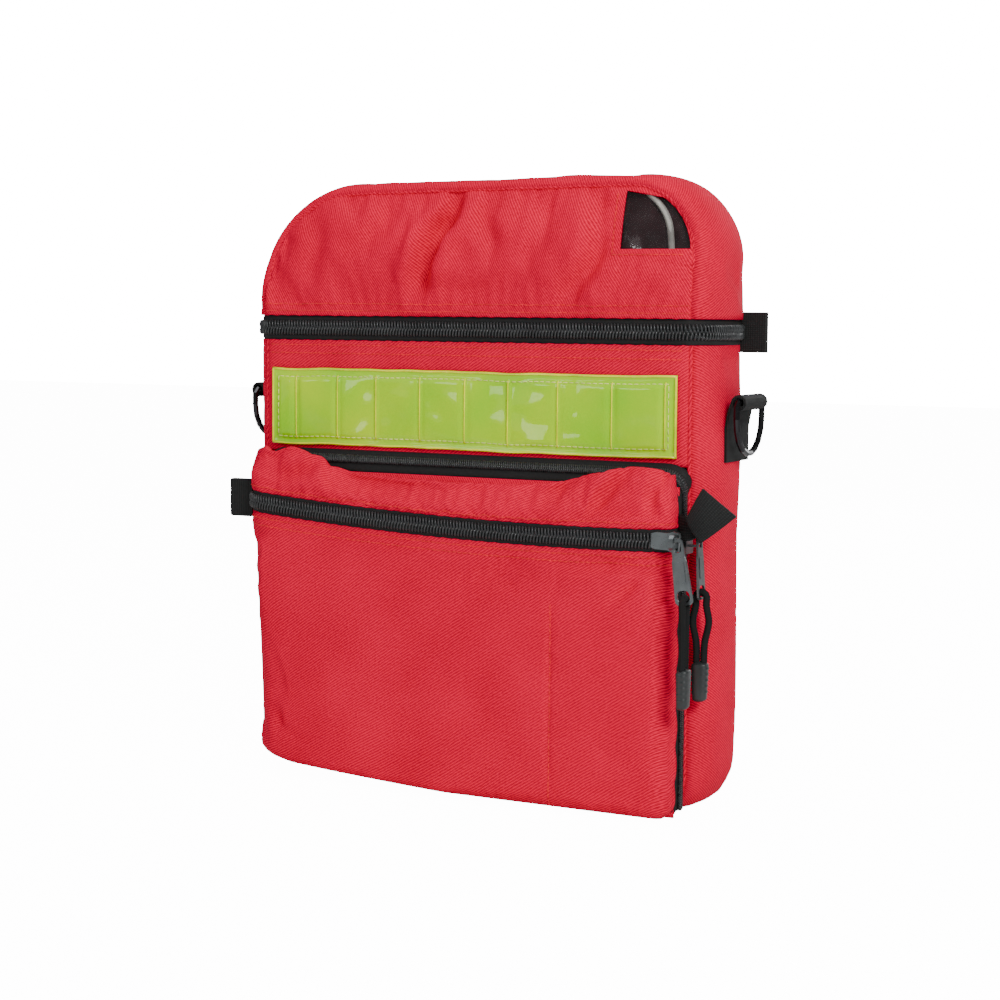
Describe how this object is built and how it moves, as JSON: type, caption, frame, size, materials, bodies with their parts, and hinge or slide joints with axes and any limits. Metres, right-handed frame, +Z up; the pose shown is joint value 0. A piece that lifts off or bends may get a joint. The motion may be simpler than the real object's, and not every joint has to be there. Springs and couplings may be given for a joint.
{
  "type": "trauma backpack",
  "caption": "Red soft-sided emergency backpack with zipped lid, clamshell front, zipped front pocket, reflective strip, side D-rings and rear shoulder straps.",
  "frame": {"origin": "on the ground, under the middle of the bag's body", "axes": "+Z up, -Y out of the front with the pocket, +X to the right seen from the front"},
  "size_m": [0.3716, 0.132, 0.398],
  "materials": {
    "red_fabric": "woven twill",
    "black_webbing": "woven webbing",
    "zipper_tape": "woven tape with moulded coil",
    "reflective_vinyl": "glossy fluorescent",
    "clear_vinyl": "clear glossy",
    "dark_metal": "gunmetal enamel",
    "ring_metal": "black nickel",
    "cord": "braided",
    "grip_plastic": "matt moulded",
    "back_mesh": "spacer mesh",
    "black_plastic": "moulded",
    "board": "plain sheet",
    "card": "plain",
    "elastic": "ribbed elastic"
  },
  "bodies": {
    "bag_body": {"back_frame_sheet": "board", "back_pad": "back_mesh", "back_panel": "red_fabric", "bottom_board": "board", "clamshell_zipper_body_half": "zipper_tape", "elastic_loops_lower": "elastic", "elastic_loops_upper": "elastic", "flap_hinge_strip": "red_fabric", "front_yoke": "red_fabric", "inner_divider": "red_fabric", "lid_zipper_lower_half": "zipper_tape", "lid_zipper_tab_left": "black_webbing", "lid_zipper_tab_right": "black_webbing", "lower_strap_left": "black_webbing", "lower_strap_right": "black_webbing", "main_gusset": "red_fabric", "reflective_strip": "reflective_vinyl", "ring_loop_left": "black_webbing", "ring_loop_right": "black_webbing", "shoulder_pad_left": "back_mesh", "shoulder_pad_right": "back_mesh"},
    "lid": {"blank_card": "card", "card_sleeve": "black_webbing", "lid_back_panel": "red_fabric", "lid_front_panel": "red_fabric", "lid_gusset": "red_fabric", "lid_zipper_upper_half": "zipper_tape", "window_pane": "clear_vinyl"},
    "handle": {"grab_handle": "black_webbing"},
    "front_flap": {"clamshell_zipper_flap_half": "zipper_tape", "flap_panel": "red_fabric", "pocket_bottom": "red_fabric", "pocket_divider": "red_fabric", "pocket_lower_front": "red_fabric", "pocket_top": "red_fabric", "pocket_upper_front": "red_fabric", "pocket_zipper_lower_half": "zipper_tape", "pocket_zipper_tab_left": "black_webbing", "pocket_zipper_tab_right": "black_webbing", "pocket_zipper_upper_half": "zipper_tape"},
    "pocket_slider_body": {"pocket_slider": "dark_metal"},
    "pocket_pull": {"pocket_pull_tab": "dark_metal"},
    "pocket_cord": {"pocket_pull_cord": "cord", "pocket_pull_grip": "grip_plastic"},
    "clamshell_slider_body": {"clamshell_slider": "dark_metal"},
    "clamshell_pull": {"clamshell_pull_tab": "dark_metal"},
    "clamshell_cord": {"clamshell_pull_cord": "cord", "clamshell_pull_grip": "grip_plastic"},
    "lid_slider_body": {"lid_slider": "dark_metal"},
    "lid_pull": {"lid_pull_tab": "dark_metal"},
    "ring_left": {"d_ring_left": "ring_metal"},
    "ring_right": {"d_ring_right": "ring_metal"},
    "adjuster_left": {"strap_adjuster_left": "black_plastic"},
    "adjuster_right": {"strap_adjuster_right": "black_plastic"}
  },
  "joints": [
    {"name": "lid_hinge", "type": "hinge", "parent": "bag_body", "child": "lid", "pos_m": [0, 0.0374, 0.299], "axis": [-1, 0, 0], "range_deg": [0, 110]},
    {"name": "handle_swing", "type": "hinge", "parent": "lid", "child": "handle", "pos_m": [0, 0.0405, 0.392], "axis": [1, 0, 0], "range_deg": [0, 165]},
    {"name": "front_flap_hinge", "type": "hinge", "parent": "bag_body", "child": "front_flap", "pos_m": [0, -0.05, 0], "axis": [1, 0, 0], "range_deg": [0, 90]},
    {"name": "pocket_slider_travel", "type": "slide", "parent": "front_flap", "child": "pocket_slider_body", "axis": [-0.9994, 0, 0.0345], "range_m": [0, 0.285]},
    {"name": "pocket_pull_swing", "type": "hinge", "parent": "pocket_slider_body", "child": "pocket_pull", "pos_m": [0.1585, -0.0724, 0.17431], "axis": [-1, 0, 0], "range_deg": [0, 100]},
    {"name": "pocket_cord_swing", "type": "hinge", "parent": "pocket_pull", "child": "pocket_cord", "pos_m": [0.16383, -0.0724, 0.13861], "axis": [-1, 0, 0], "range_deg": [0, 60]},
    {"name": "clamshell_slider_travel", "type": "slide", "parent": "bag_body", "child": "clamshell_slider_body", "axis": [0, 0, -1], "range_m": [-0.02, 0.15]},
    {"name": "clamshell_pull_swing", "type": "hinge", "parent": "clamshell_slider_body", "child": "clamshell_pull", "pos_m": [0.1613, -0.042, 0.174], "axis": [0, -1, 0], "range_deg": [0, 100]},
    {"name": "clamshell_cord_swing", "type": "hinge", "parent": "clamshell_pull", "child": "clamshell_cord", "pos_m": [0.16319, -0.042, 0.13795], "axis": [0, -1, 0], "range_deg": [0, 60]},
    {"name": "lid_slider_travel", "type": "slide", "parent": "bag_body", "child": "lid_slider_body", "axis": [0, -1, 0], "range_m": [0, 0.016]},
    {"name": "lid_pull_swing", "type": "hinge", "parent": "lid_slider_body", "child": "lid_pull", "pos_m": [-0.1738, 0.008, 0.299], "axis": [0, 1, 0], "range_deg": [0, 100]},
    {"name": "ring_swing_left", "type": "hinge", "parent": "bag_body", "child": "ring_left", "pos_m": [-0.176, 0.0065, 0.256], "axis": [0, 1, 0], "range_deg": [-4, 90]},
    {"name": "ring_swing_right", "type": "hinge", "parent": "bag_body", "child": "ring_right", "pos_m": [0.176, 0.0065, 0.256], "axis": [0, -1, 0], "range_deg": [-4, 90]},
    {"name": "adjuster_slide_left", "type": "slide", "parent": "bag_body", "child": "adjuster_left", "axis": [-0.4821, 0, -0.8761], "range_m": [0, 0.04]},
    {"name": "adjuster_slide_right", "type": "slide", "parent": "bag_body", "child": "adjuster_right", "axis": [0.4821, 0, -0.8761], "range_m": [0, 0.04]}
  ]
}
